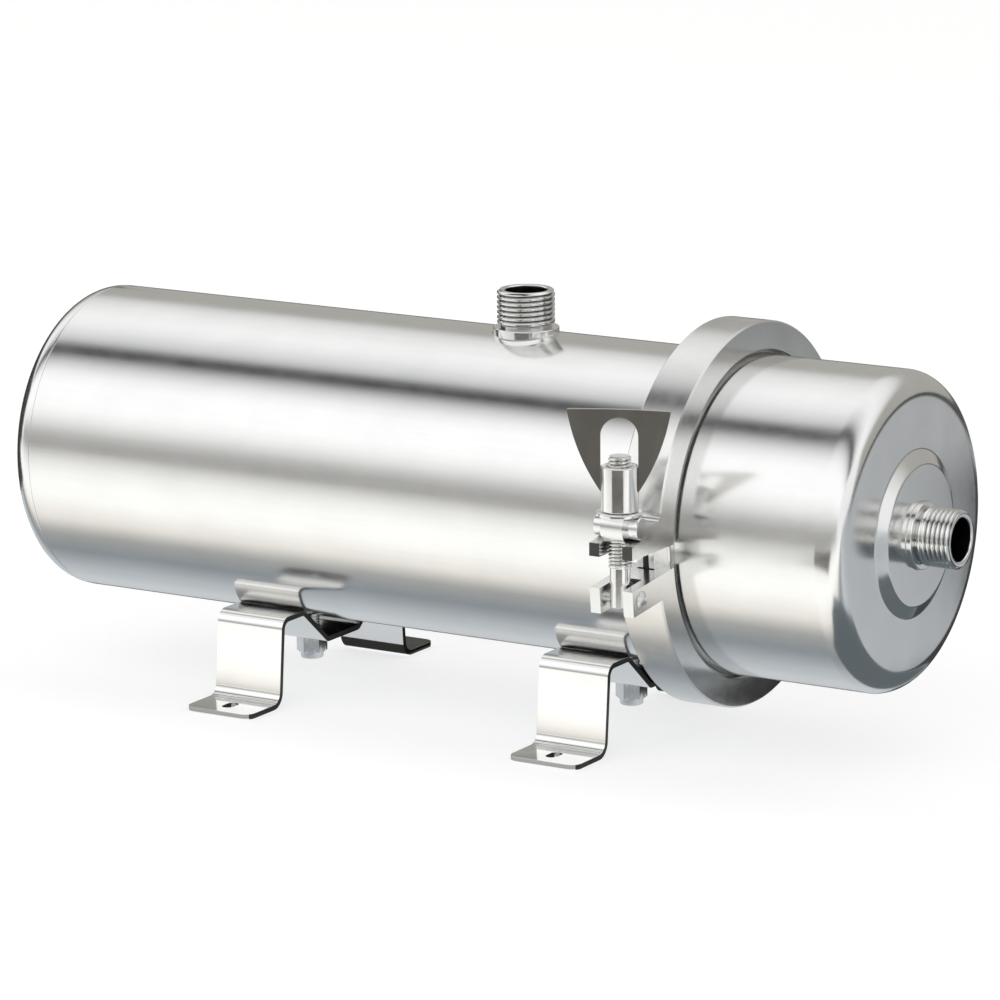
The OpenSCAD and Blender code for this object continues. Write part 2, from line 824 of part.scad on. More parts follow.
module bracket_studs() {
    stud_foot = nut_seat_z - seat_gap - hex_height - lock_collar_height - stud_past_nut;
    collar_z = axis_height - tube_r - stud_collar_height;
    color(bright_steel) difference() {
        at_brackets(0) {
            translate([0, 0, stud_foot]) cylinder(d = stud_d, h = axis_height - tube_r - stud_foot);
            translate([0, 0, collar_z]) cylinder(d = stud_collar_d, h = stud_collar_height + past);
        }
        on_axis(0) cylinder(r = tube_r + seat_gap, h = through * 2, center = true);
    }
}

module lock_nuts() {
    hex_z = nut_seat_z - seat_gap - hex_height;
    color(bright_steel) at_brackets(hex_z) difference() {
        union() {
            cylinder(d = nut_flats / cos(30), h = hex_height, $fn = 6);
            translate([0, 0, -lock_collar_height]) cylinder(d = lock_collar_d, h = lock_collar_height + past);
        }
        translate([0, 0, -through / 2]) cylinder(d = stud_d + 2 * running_gap, h = through);
        translate([0, 0, -insert_height]) cylinder(r = insert_r, h = insert_height);
    }
}

module lock_nut_inserts() {
    hex_z = nut_seat_z - seat_gap - hex_height;
    color([0.85, 0.87, 0.90]) at_brackets(hex_z - insert_height + seat_gap)
        tube_ring(insert_r - seat_gap, stud_d / 2 + running_gap, insert_height - 2 * seat_gap);
}

// Cartridge

module cartridge_stop() {
    color(steel) on_axis(seam_x) tube_ring(bore_r - seat_gap, bore_r - stop_depth, stop_width - seat_gap);
}

// A cartridge head: outer face at Z = 0, cage socket at the far end, two seal grooves
module cartridge_head() {
    rotate_extrude() difference() {
        translate([cage_radius + seat_gap, 0]) square([head_r - cage_radius - seat_gap, head_length]);
        for (z = [seal_offset, head_length - seal_offset])
            translate([groove_r, z - groove_half]) square([head_r, 2 * groove_half]);
    }
}

module drain_head() {
    color([0.90, 0.90, 0.88]) on_axis(cartridge_x0) cartridge_head();
}

module feed_head() {
    color([0.90, 0.90, 0.88]) on_axis(cartridge_x1) mirror([0, 0, 1]) cartridge_head();
}

module potting_disc() {
    translate([0, 0, face_recess]) cylinder(r = cage_radius, h = potting_length);
}

module drain_potting() {
    color([0.80, 0.70, 0.50]) on_axis(cartridge_x0) potting_disc();
}

module feed_potting() {
    color([0.80, 0.70, 0.50]) on_axis(cartridge_x1) mirror([0, 0, 1]) potting_disc();
}

module head_seals() {
    offsets = [seal_offset, head_length - seal_offset];
    places = concat([for (z = offsets) cartridge_x0 + z], [for (z = offsets) cartridge_x1 - z]);
    color([0.10, 0.10, 0.10]) for (x = places)
        on_axis(x) rotate_extrude() translate([seal_circle, 0]) circle(r = seal_section);
}

module cartridge_cage() {
    row_pitch = (cage_length - 2 * cage_socket) / cage_rows;
    window_length = row_pitch - cage_rib;
    color([0.93, 0.93, 0.92]) difference() {
        on_axis(cage_x0) tube_ring(cage_radius, cage_radius - cage_wall, cage_length);
        for (row = [0 : cage_rows - 1], i = [0 : cage_windows / 2 - 1])
            translate([cage_x0 + cage_socket + (row + 0.5) * row_pitch, 0, axis_height])
                rotate([i * 360 / cage_windows, 0, 0])
                    cube([window_length, window_width, 3 * cage_radius], center = true);
    }
}

// Sheaves of hollow fibres, packed in rings of six
module fibre_sheaves() {
    color([0.96, 0.96, 0.94]) for (a = [-sheaf_rings : sheaf_rings], b = [-sheaf_rings : sheaf_rings])
        if (abs(a + b) <= sheaf_rings)
            on_axis(cage_x0)
                translate([sheaf_pitch * (a + b / 2), sheaf_pitch * b * sin(60), 0])
                    cylinder(r = sheaf_radius, h = cage_length);
}

barrel_tube();
barrel_end();
barrel_flange();
outlet_nipple();
drain_nipple();
cap_shell();
cap_flange();
inlet_nipple();
flange_gasket();
clamp_upper_half();
clamp_lower_half();
clamp_hinge_pin();
bolt_pivot_pin();
swing_bolt();
trunnion_bar();
trunnion_washer();
wing_nut_barrel();
wing_plate();
closed_end_bracket();
clamp_end_bracket();
bracket_studs();
lock_nuts();
lock_nut_inserts();
cartridge_stop();
drain_head();
feed_head();
drain_potting();
feed_potting();
head_seals();
cartridge_cage();
fibre_sheaves();
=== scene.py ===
"""Looks of the ultrafiltration water purifier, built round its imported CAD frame. Metres, row frame."""
import math
import bmesh
import bpy
from mathutils import Matrix, Vector


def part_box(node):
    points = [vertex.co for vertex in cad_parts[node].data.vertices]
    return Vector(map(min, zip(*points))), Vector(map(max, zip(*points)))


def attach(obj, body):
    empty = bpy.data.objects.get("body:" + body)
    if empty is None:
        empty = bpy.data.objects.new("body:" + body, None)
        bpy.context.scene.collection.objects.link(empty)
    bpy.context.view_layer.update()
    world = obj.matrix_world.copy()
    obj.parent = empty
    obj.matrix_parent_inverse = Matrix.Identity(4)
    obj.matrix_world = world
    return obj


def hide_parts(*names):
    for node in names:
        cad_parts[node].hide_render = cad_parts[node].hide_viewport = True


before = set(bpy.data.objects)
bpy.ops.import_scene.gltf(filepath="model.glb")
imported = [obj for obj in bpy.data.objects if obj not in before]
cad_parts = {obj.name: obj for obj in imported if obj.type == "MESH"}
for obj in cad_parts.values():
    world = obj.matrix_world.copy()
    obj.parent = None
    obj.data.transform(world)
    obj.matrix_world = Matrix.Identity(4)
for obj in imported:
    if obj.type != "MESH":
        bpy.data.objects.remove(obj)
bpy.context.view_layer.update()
MM = 0.001

# sizes, millimetres, as in the part's source
AXIS_Z = 84.0
TUBE_R, WALL = 57.15, 1.2
BORE_R = TUBE_R - WALL
SEAM_X, END_DEPTH, END_FILLET = -87.0, 9.75, 9.25
JOINT_X = 180.5
GASKET = 2.2
BARREL_FACE, CAP_FACE = JOINT_X - GASKET / 2, JOINT_X + GASKET / 2
FLANGE_L, FLANGE_R, RIM_T = 6.5, 63.5, 2.3
CONE = math.tan(math.radians(20))
BEAD_AT, BEAD_R, GROOVE_R = 60.0, 2.1, 2.15
CAP_REACH = 71.5
CAP_DEPTH = CAP_REACH - GASKET / 2 - FLANGE_L
DISC_R, DISC_RAMP, DISC_RISE = 29.8, 4.6, 2.8
OUTLET_X = 94.8
PORT_R, THREAD_R, SPIGOT_R, COLLAR_R = 7.55, 10.4775, 9.5, 12.0
COLLAR_H, RELIEF_H, RELIEF_D, THREAD_L = 2.0, 0.9, 1.2, 13.7
NIPPLE_H, MOUTH = COLLAR_H + THREAD_L, 0.8
PIPE_PITCH, PIPE_DEPTH = 1.814, 1.162
CLAMP_W, HINGE_Y, HINGE_D = 17.0, 77.0, 5.0
HEAD_OUT, HEAD_RISE = 1.2, 1.6
BOLT_Y = -81.0
BOLT_R, BOLT_PITCH, BOLT_DEPTH = 4.0, 1.25, 0.72
THREAD_FOOT, BOLT_TOP = AXIS_Z - 3.0, AXIS_Z + 35.9
PIVOT_Z, PIVOT_D = sum(corner.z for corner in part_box("bolt_pivot_pin")) / 2 / MM, 4.0
WASHER_BORE, WASHER_R, NUT_R = 4.1, 8.0, 6.5
BRACKETS = (0.0, 138.2)
STUD_R, STUD_PITCH, STUD_DEPTH, STUD_COLLAR = 3.0, 1.0, 0.55, 1.2
HEX_H, HALF_FLATS = 7.4, 5.0


# mesh helpers
def linked(name, bm):
    """A bmesh as an object in the scene."""
    mesh = bpy.data.meshes.new(name)
    bm.to_mesh(mesh)
    bm.free()
    obj = bpy.data.objects.new(name, mesh)
    bpy.context.scene.collection.objects.link(obj)
    return obj


def frac(v):
    return v - math.floor(v)


def smooth(t):
    t = min(1.0, max(0.0, t))
    return t * t * (3 - 2 * t)


def filleted(points, radii, closed=True, step=18.0):
    """Rounds the corners of a profile. radii is one number or one per corner; 0 keeps a corner sharp."""
    n = len(points)
    if not isinstance(radii, (list, tuple)):
        radii = [radii] * n
    out = []
    for i, p in enumerate(points):
        r = radii[i]
        if r <= 0 or (not closed and i in (0, n - 1)):
            out.append(tuple(p))
            continue
        a, b = Vector(points[i - 1]), Vector(points[(i + 1) % n])
        q = Vector(p)
        u, v = (a - q), (b - q)
        lu, lv = u.length, v.length
        u.normalize()
        v.normalize()
        half = math.acos(max(-1, min(1, u.dot(v)))) / 2
        # a corner that is nearly straight, or folded back on itself, stays as it is
        if half > math.radians(88) or half < math.radians(2):
            out.append(tuple(p))
            continue
        cut = min(r / math.tan(half), 0.48 * lu, 0.48 * lv)
        r = cut * math.tan(half)
        centre = q + (u + v).normalized() * (r / math.sin(half))
        s, e = q + u * cut - centre, q + v * cut - centre
        turn = math.atan2(s.x * e.y - s.y * e.x, s.dot(e))
        steps = max(2, int(abs(math.degrees(turn)) / step))
        for k in range(steps + 1):
            t = turn * k / steps
            out.append((centre.x + s.x * math.cos(t) - s.y * math.sin(t),
                        centre.y + s.x * math.sin(t) + s.y * math.cos(t)))
    return out


# two directions across the axis and the axis itself, for each way a turned form can point
BASES = {
    "+X": (Vector((0, 1, 0)), Vector((0, 0, 1)), Vector((1, 0, 0))),
    "-X": (Vector((0, 0, 1)), Vector((0, 1, 0)), Vector((-1, 0, 0))),
    "+Z": (Vector((1, 0, 0)), Vector((0, 1, 0)), Vector((0, 0, 1))),
}


def turned(bm, rows, origin, way, seg, shape=None, closed=True, keep=None):
    """Adds a turned form: rows are (radius, height) in mm up the axis, and shape(theta, radius, height, row)
    may change both. How far it moves a point inwards is kept as cut_depth, which the thread materials read.
    keep(point) drops faces whose middle it refuses. Rows with radius 0 close on the axis."""
    u, v, w = BASES[way]
    o = Vector(origin)
    # cut_depth is what the thread materials read to paint shade into roots and grooves
    depth = bm.verts.layers.float.get("cut_depth") or bm.verts.layers.float.new("cut_depth")
    grid = []
    for k, (r, h) in enumerate(rows):
        if r < 1e-6 and shape is None:
            grid.append([bm.verts.new((o + w * h) * MM)] * seg)
            continue
        line = []
        for i in range(seg):
            t = 2 * math.pi * i / seg
            rr, hh = shape(t, r, h, k) if shape else (r, h)
            line.append(bm.verts.new((o + (u * math.cos(t) + v * math.sin(t)) * rr + w * hh) * MM))
            line[-1][depth] = max(0.0, r - rr)
        grid.append(line)
    pairs = list(zip(grid, grid[1:])) + ([(grid[-1], grid[0])] if closed else [])
    for a, b in pairs:
        for i in range(seg):
            j = (i + 1) % seg
            corner = []
            for x in (a[i], a[j], b[j], b[i]):
                if x not in corner:
                    corner.append(x)
            if len(corner) < 3:
                continue
            if keep is not None and not keep(sum((x.co for x in corner), Vector()) / len(corner) / MM):
                continue
            bm.faces.new(corner)


def made(name, bm, body, nodes, angle, material, second=None):
    """Turns a bmesh into a piece: normals outward, soft shading with edges over angle kept, material and
    body. nodes are the CAD nodes that it replaces. second is (material, test): faces whose middle in mm
    and normal pass the test take that material."""
    bmesh.ops.recalc_face_normals(bm, faces=bm.faces)
    if second:
        for f in bm.faces:
            f.material_index = 1 if second[1](f.calc_center_median() / MM, f.normal) else 0
    for f in bm.faces:
        f.smooth = True
    for e in bm.edges:
        if len(e.link_faces) != 2 or e.calc_face_angle(0) > math.radians(angle):
            e.smooth = False
    obj = linked(name, bm)
    obj.data.materials.append(material)
    if second:
        obj.data.materials.append(second[0])
    level = obj.modifiers.new("flat_faces_stay_flat", "WEIGHTED_NORMAL")
    level.mode, level.weight, level.keep_sharp = "FACE_AREA", 100, True
    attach(obj, body)
    if nodes:
        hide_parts(*nodes)


def dressed(node, name, body, bevel, material, second=None, drop=None, add=None):
    """A CAD node's own form with its cut edges broken by bevel mm, as a finished part's are. drop(middle in
    mm) leaves faces out, and add(bm) puts a form in their place."""
    bm = bmesh.new()
    bm.from_mesh(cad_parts[node].data)
    bmesh.ops.remove_doubles(bm, verts=bm.verts, dist=2e-6)
    bmesh.ops.dissolve_limit(bm, angle_limit=math.radians(0.6), verts=bm.verts, edges=bm.edges)
    if drop:
        gone = [f for f in bm.faces if drop(f.calc_center_median() / MM)]
        bmesh.ops.delete(bm, geom=gone, context="FACES")
    sharp = [e for e in bm.edges if len(e.link_faces) == 2 and e.calc_face_angle(0) > math.radians(30)]
    bmesh.ops.bevel(bm, geom=sharp, offset=bevel * MM, offset_type="OFFSET", segments=2, profile=0.5,
                    affect="EDGES", clamp_overlap=True, harden_normals=False)
    if add:
        add(bm)
    made(name, bm, body, (node,), angle=34.0, material=material, second=second)


# material helpers
class Look:
    """A Principled material built from nodes."""

    def __init__(self, name):
        self.mat = bpy.data.materials.new(name)
        self.mat.use_nodes = True
        self.tree = self.mat.node_tree
        self.shader = self.tree.nodes["Principled BSDF"]
        self.coords = self.node("ShaderNodeTexCoord").outputs["Object"]

    def node(self, kind, **values):
        n = self.tree.nodes.new(kind)
        for k, v in values.items():
            setattr(n, k, v)
        return n

    def link(self, a, b):
        self.tree.links.new(a, b)

    def set(self, **values):
        for k, v in values.items():
            self.shader.inputs[k.replace("_", " ")].default_value = v

    def mapped(self, scale):
        m = self.node("ShaderNodeMapping")
        m.inputs["Scale"].default_value = scale
        self.link(self.coords, m.inputs["Vector"])
        return m.outputs["Vector"]

    def noise(self, scale, size=1.0, detail=3.0, rough=0.5):
        n = self.node("ShaderNodeTexNoise")
        n.inputs["Scale"].default_value = size
        n.inputs["Detail"].default_value = detail
        n.inputs["Roughness"].default_value = rough
        self.link(self.mapped(scale), n.inputs["Vector"])
        return n.outputs["Fac"]

    def ramp(self, fac, stops):
        r = self.node("ShaderNodeValToRGB")
        e = r.color_ramp.elements
        while len(e) < len(stops):
            e.new(0.5)
        for stop, (place, tone) in zip(e, stops):
            stop.position = place
            stop.color = (tone, tone, tone, 1) if isinstance(tone, float) else (*tone, 1)
        self.link(fac, r.inputs["Fac"])
        return r.outputs["Color"]

    def math(self, op, a, b):
        m = self.node("ShaderNodeMath", operation=op)
        for k, x in enumerate((a, b)):
            if isinstance(x, (int, float)):
                m.inputs[k].default_value = x
            else:
                self.link(x, m.inputs[k])
        return m.outputs[0]

    def bump(self, *layers):
        """layers are (height, strength, distance in mm), laid one on the other."""
        last = None
        for height, strength, distance in layers:
            b = self.node("ShaderNodeBump")
            b.inputs["Strength"].default_value = strength
            b.inputs["Distance"].default_value = distance * MM
            self.link(height, b.inputs["Height"])
            if last is not None:
                self.link(last, b.inputs["Normal"])
            last = b.outputs["Normal"]
        self.link(last, self.shader.inputs["Normal"])


def metal(name, dark, light, rough, grain, grain_depth, spread, pits=0.0, cut=0.0, root=1.0):
    """Steel: grain lines that run along the axis with the smallest scale, a slow change of tone between dark
    and light, and smudged gloss. grain_depth and pits are heights in mm. cut is a thread's full depth in mm,
    and root the share of the tone that is left there."""
    k = Look(name)
    k.set(Metallic=1.0, IOR=2.0)
    lines = k.noise(grain, 1.0, 4.0, 0.6)
    cloud = k.noise((1, 1, 1), 38.0, 3.0, 0.55)
    tone = k.math("ADD", k.math("MULTIPLY", lines, 0.35), k.math("MULTIPLY", cloud, 0.65))
    tint = k.ramp(tone, [(0.30, dark), (0.72, light)])
    # painted shade: where cut_depth nears the full cut, the tone falls to root, darkening a thread's roots
    if cut:
        deep = k.node("ShaderNodeAttribute", attribute_name="cut_depth").outputs["Fac"]
        shade = k.ramp(k.math("DIVIDE", deep, cut), [(0.55, 1.0), (0.84, (1 + root) / 2), (1.0, root)])
        mix = k.node("ShaderNodeVectorMath", operation="MULTIPLY")
        k.link(tint, mix.inputs[0])
        k.link(shade, mix.inputs[1])
        tint = mix.outputs[0]
    k.link(tint, k.shader.inputs["Base Color"])
    smudge = k.noise((1, 1, 1), 95.0, 4.0, 0.6)
    gloss = k.math("ADD", k.math("MULTIPLY", smudge, 0.6), k.math("MULTIPLY", lines, 0.4))
    k.link(k.ramp(gloss, [(0.28, rough - spread), (0.75, rough + spread)]), k.shader.inputs["Roughness"])
    layers = [(lines, 0.25, grain_depth)]
    if pits:
        layers.append((k.noise((1, 1, 1), 700.0, 3.0, 0.6), 0.3, pits))
    k.bump(*layers)
    return k.mat


def plastic(name, dark, light, rough, pebble, depth, sheen=0.0):
    """Rubber, plastic, resin or fibre: a slow change of tone, and a fine relief of that depth in mm."""
    k = Look(name)
    k.set(Metallic=0.0, IOR=1.5, Sheen_Weight=sheen)
    cloud = k.noise((1, 1, 1), 60.0, 3.0, 0.5)
    fine = k.noise((1, 1, 1), pebble, 3.0, 0.6)
    k.link(k.ramp(cloud, [(0.3, dark), (0.7, light)]), k.shader.inputs["Base Color"])
    k.link(k.ramp(fine, [(0.3, rough - 0.05), (0.7, rough + 0.08)]), k.shader.inputs["Roughness"])
    k.bump((fine, 0.4, depth))
    return k.mat


DIM, BRIGHT = (0.80, 0.805, 0.80), (0.87, 0.87, 0.865)
EVEN = (500, 500, 500)
TUBE = metal("polished_tube", DIM, BRIGHT, 0.15, (30, 900, 900), 0.0006, 0.035)
DRAWN = metal("polished_pressing", DIM, BRIGHT, 0.17, (120, 500, 500), 0.0006, 0.04)
MACHINED = metal("turned_steel", (0.74, 0.74, 0.735), (0.88, 0.88, 0.87), 0.16, (700, 700, 700), 0.0006, 0.05)
# THREADED and ROLLED carry painted shade: their tone falls to root in a thread's deepest cut
THREADED = metal("threaded_steel", (0.80, 0.80, 0.79), (0.92, 0.92, 0.91), 0.13, EVEN, 0.001, 0.05,
                 cut=PIPE_DEPTH, root=0.2)
ROLLED = metal("rolled_thread", (0.76, 0.76, 0.75), (0.88, 0.88, 0.87), 0.15, EVEN, 0.001, 0.05,
               cut=BOLT_DEPTH, root=0.42)
CAST = metal("finished_casting", (0.73, 0.73, 0.72), (0.82, 0.82, 0.81), 0.20, (260, 260, 260), 0.0015,
             0.05, pits=0.0015)
DARK = metal("pressed_sheet", (0.64, 0.63, 0.60), (0.76, 0.745, 0.71), 0.12, (200, 200, 60), 0.001, 0.04,
             pits=0.001)
SHEET = metal("polished_sheet", (0.88, 0.88, 0.87), (0.94, 0.94, 0.93), 0.12, (60, 700, 700), 0.0006, 0.04)
# near-black steel for the brackets' cut sides: painted shade
CUT_SIDE_SHADE = metal("cut_side_painted_shade", (0.05, 0.05, 0.05), (0.11, 0.11, 0.105), 0.42, (60, 60, 900), 0.004, 0.08)
# near-black steel for the upper lugs' front ends: painted shade
LUG_END_SHADE = metal("lug_end_painted_shade", (0.06, 0.06, 0.058), (0.11, 0.11, 0.105), 0.38, (900, 60, 900), 0.003, 0.08)
# near-black steel for the nipples' bores: painted shade inside the port
BORE_SHADE = metal("bore_painted_shade", (0.015, 0.015, 0.015), (0.05, 0.05, 0.05), 0.35, (300, 300, 300), 0.003, 0.08)
WELD = metal("weld_bead", (0.55, 0.55, 0.54), (0.78, 0.77, 0.75), 0.22, (400, 400, 400), 0.004, 0.07)
PEENED = metal("peened_head", (0.62, 0.62, 0.61), (0.76, 0.76, 0.75), 0.36, EVEN, 0.002, 0.06)
RUBBER = plastic("black_rubber", (0.012, 0.012, 0.012), (0.03, 0.03, 0.03), 0.55, 1400.0, 0.01)
NYLON = plastic("white_nylon", (0.68, 0.70, 0.73), (0.80, 0.81, 0.83), 0.38, 800.0, 0.006)
WHITE = plastic("white_plastic", (0.74, 0.75, 0.75), (0.82, 0.82, 0.81), 0.42, 700.0, 0.008)
RESIN = plastic("potting_resin", (0.62, 0.53, 0.33), (0.74, 0.66, 0.45), 0.25, 300.0, 0.004)
FIBRE = plastic("hollow_fibre", (0.78, 0.77, 0.73), (0.88, 0.87, 0.83), 0.6, 2400.0, 0.05, 0.2)


# threads
def wave(turns):
    """Height of a rounded thread form, 0 in the root and 1 on the crest."""
    tri = 1 - abs(2 * frac(turns) - 1)
    # the root is flat over the lowest 6 percent of the rise, and the crest from 72 percent up
    flat = min(1.0, max(0.0, (tri - 0.06) / 0.66))
    return 0.45 * flat + 0.55 * smooth(flat)


def threaded_rows(r, h0, h1, pitch, per_turn=12):
    """Rows of radius r, close enough together to cut a thread in."""
    n = int((h1 - h0) / pitch * per_turn) + 1
    return [(r, h0 + (h1 - h0) * i / n) for i in range(n + 1)]


def thread_shape(r, h0, h1, pitch, depth, run, top=None, chamfer=0.0):
    """Cuts a right-handed thread into rows of radius r between h0 and h1, fading out over run turns at the
    foot. The crests are turned down by chamfer at top."""
    def shape(t, rr, h, k):
        if abs(rr - r) < 1e-6 and h0 <= h <= h1:
            fade = smooth((h - h0) / (run * pitch))
            rr = r - depth * (1 - wave(h / pitch - t / (2 * math.pi))) * fade
            if top is not None:
                rr = min(rr, r - chamfer + max(0.0, top - h))
        return rr, h
    return shape


def saddle(t, r):
    """How far the barrel's surface lies under its top, at angle t and radius r round the outlet."""
    return TUBE_R - math.sqrt(TUBE_R ** 2 - (r * math.sin(t)) ** 2)


def nipple(name, node, origin, way, on_barrel=False):
    """A pipe nipple: bore, broken mouth, cut thread, relief, collar, and the weld round its foot."""
    h0, h1 = COLLAR_H + RELIEF_H, NIPPLE_H
    cut_from = h0 + 0.9
    spigot = WALL + (saddle(math.pi / 2, COLLAR_R) if on_barrel else 0)
    relief = THREAD_R - RELIEF_D
    # the relief's rows are given this wide and set back in shape, so that cut_depth paints shade into the
    # groove
    shaded = relief + 0.93
    rows = [(PORT_R, -spigot), (SPIGOT_R, -spigot), (SPIGOT_R, -0.02), (COLLAR_R, -0.02)]
    foot = {2, 3}
    rim = filleted([(COLLAR_R, 0.2), (COLLAR_R, COLLAR_H), (relief, COLLAR_H)], [0, 0.35, 0], closed=False)
    rows += rim[:-1]
    groove = {len(rows) + k for k in range(4)}
    rows += [(shaded, COLLAR_H), (shaded, COLLAR_H + 0.1), (shaded, h0 - 0.1), (shaded, h0)]
    rows += [(relief + 0.06, h0 + 0.06)]
    rows += threaded_rows(THREAD_R, cut_from, h1, PIPE_PITCH, 14)
    rows += [(THREAD_R - MOUTH - 0.9, h1), (PORT_R + 0.9, h1 - 0.02), (PORT_R + 0.55, h1 - 0.1),
             (PORT_R + 0.2, h1 - 0.42), (PORT_R, h1 - 0.85)]
    thread = thread_shape(THREAD_R, cut_from, h1, PIPE_PITCH, PIPE_DEPTH, 0.7, h1, MOUTH)

    def shape(t, r, h, k):
        if k in groove:
            return relief, h
        r, h = thread(t, r, h, k)
        if on_barrel and k in foot:
            h = h - saddle(t, r) - 0.03
        return r, h

    bm = bmesh.new()
    turned(bm, rows, origin, way, 160, shape)
    axis = Vector(origin)

    # the bore's faces take the near-black steel: painted shade inside the port
    def in_bore(c, n):
        off = c - axis
        off -= BASES[way][2] * off.dot(BASES[way][2])
        return off.length < PORT_R + 0.12

    made(name, bm, "housing", (node,), angle=50, material=THREADED,
         second=(BORE_SHADE, in_bore))
    # the weld runs round the collar's foot as a low rippled fillet
    bm = bmesh.new()
    profile = [(COLLAR_R - 0.4, -0.05), (COLLAR_R - 0.4, 0.3), (COLLAR_R + 0.01, 0.3),
               (COLLAR_R + 0.08, 0.16), (COLLAR_R + 0.18, 0.08), (COLLAR_R + 0.3, 0.03),
               (COLLAR_R + 0.34, -0.05)]

    def lay(t, r, h, k):
        ripple = 0.025 * math.sin(58 * t + 3 * (r - COLLAR_R)) * (1 if 2 < k < 6 else 0)
        if on_barrel:
            h = h - saddle(t, r)
        return r + ripple, h + ripple * 0.6

    turned(bm, profile, origin, way, 232, lay)
    made(name + "_weld", bm, "housing", (), angle=60, material=WELD)


# barrel and cap
def tube_stations(x0, x1, fine):
    """Places of the tube's rings of points, 6 mm apart, and 1 mm apart within fine."""
    out = [x0]
    x = x0
    while x < x1 - 1e-6:
        x += 1.0 if fine[0] - 1 <= x < fine[1] else 6.0
        out.append(min(x, x1))
    return out


# the tube, open under the outlet's collar, with its edge broken at the seam
xs = tube_stations(SEAM_X + 0.35, BARREL_FACE - FLANGE_L, (OUTLET_X - COLLAR_R, OUTLET_X + COLLAR_R))
outer = [(TUBE_R - 0.35, SEAM_X), (TUBE_R - 0.1, SEAM_X + 0.1)] + [(TUBE_R, x) for x in xs]
inner = [(BORE_R, x) for x in reversed(xs)] + [(BORE_R, SEAM_X)]
HOLE_R = 10.6
bm = bmesh.new()
turned(bm, outer + inner, (0, 0, AXIS_Z), "+X", 256,
       keep=lambda p: not (p.z > AXIS_Z and (p.x - OUTLET_X) ** 2 + p.y ** 2 < HOLE_R ** 2))
made("barrel_tube_skin", bm, "housing", ("barrel_tube",), angle=40, material=TUBE)


def pressing_rows(depth):
    """Outer and inner faces of a pressed end: skirt, rounded edge, flat face, ramp and raised disc with its
    hole."""
    r, f, t = TUBE_R, END_FILLET, WALL
    hole, top, ramp_end, disc_round = SPIGOT_R + 0.05, depth + DISC_RISE, DISC_R - DISC_RAMP, 2.2
    out = [(r - 0.35, 0.0), (r - 0.1, 0.1), (r, 0.35)]
    n = max(2, int((depth - f) / 6))
    out += [(r, 0.35 + (depth - f - 0.35) * i / n) for i in range(1, n + 1)]
    turn = [math.radians(a) for a in range(6, 91, 6)]
    out += [(r - f + f * math.cos(a), depth - f + f * math.sin(a)) for a in turn]
    out += [(r - f - k * (r - f - DISC_R) / 3, depth) for k in (1, 2)]
    out += filleted([(DISC_R + 4, depth), (DISC_R, depth), (ramp_end, top), (COLLAR_R, top), (hole, top)],
                    [0, disc_round, disc_round, 0, 0], closed=False, step=6)
    inn = [(hole, top - t), (ramp_end - t / 2, top - t), (DISC_R - t / 2, depth - t), (r - f, depth - t)]
    turn = [math.radians(a) for a in range(80, -1, -10)]
    inn += [(r - f + (f - t) * math.cos(a), depth - f + (f - t) * math.sin(a)) for a in turn]
    return out + inn + [(r - t, 0.0)]


for node, depth, x, way in (("barrel_end", END_DEPTH, SEAM_X, "-X"),
                            ("cap_shell", CAP_DEPTH, CAP_FACE + FLANGE_L, "+X")):
    bm = bmesh.new()
    turned(bm, pressing_rows(depth), (x, 0, AXIS_Z), way, 256)
    made(node + "_skin", bm, "housing", (node,), angle=40, material=DRAWN)

# weld between barrel and pressed end: ground nearly flush, in the groove between the two broken edges
bm = bmesh.new()
bead = [(TUBE_R - 0.8, SEAM_X - 0.3), (TUBE_R - 0.24, SEAM_X - 0.28), (TUBE_R - 0.16, SEAM_X),
        (TUBE_R - 0.24, SEAM_X + 0.28), (TUBE_R - 0.8, SEAM_X + 0.3)]
turned(bm, bead, (0, 0, AXIS_Z), "+X", 256,
       lambda t, r, h, k: (r + (0.03 * math.sin(240 * t) if 0 < k < 4 else 0), h))
made("end_seam_weld", bm, "housing", (), angle=60, material=WELD)


def flange_rows():
    """A tapered clamp flange, with the groove for the gasket's bead in its face."""
    cone_foot = RIM_T + (FLANGE_R - TUBE_R) * CONE
    outline = [(FLANGE_R, 0), (FLANGE_R, RIM_T), (TUBE_R, cone_foot), (TUBE_R, FLANGE_L),
               (BORE_R, FLANGE_L), (BORE_R, 0)]
    body = filleted(outline, [0.25, 0.4, 0.8, 0, 0, 0.2], step=20)
    turn = [math.radians(a) for a in range(148, 31, -12)]
    return body + [(BEAD_AT + GROOVE_R * math.cos(a), -GASKET / 2 + GROOVE_R * math.sin(a)) for a in turn]


for node, x, way in (("barrel_flange", BARREL_FACE, "-X"), ("cap_flange", CAP_FACE, "+X")):
    bm = bmesh.new()
    turned(bm, flange_rows(), (x, 0, AXIS_Z), way, 192)
    made(node + "_turned", bm, "housing", (node,), angle=40, material=MACHINED)

# gasket: flat ring with a round bead on both faces and a slightly soft rim
g, rim, bead_in, bead_out = GASKET / 2, 63.2, BEAD_AT - BEAD_R, BEAD_AT + BEAD_R
turn = [math.radians(a) for a in range(32, 149, 9)]
rows = [(BORE_R, -g), (bead_in, -g)]
rows += [(BEAD_AT - BEAD_R * math.cos(a), -BEAD_R * math.sin(a)) for a in turn]
rows += [(bead_out, -g), (rim, -g), (rim + 0.25, -g * 0.6), (rim + 0.25, g * 0.6), (rim, g), (bead_out, g)]
rows += [(BEAD_AT + BEAD_R * math.cos(a), BEAD_R * math.sin(a)) for a in turn]
rows += [(bead_in, g), (BORE_R, g)]
bm = bmesh.new()
turned(bm, rows, (JOINT_X, 0, AXIS_Z), "+X", 192)
made("flange_gasket_moulded", bm, "housing", ("flange_gasket",), angle=50, material=RUBBER)

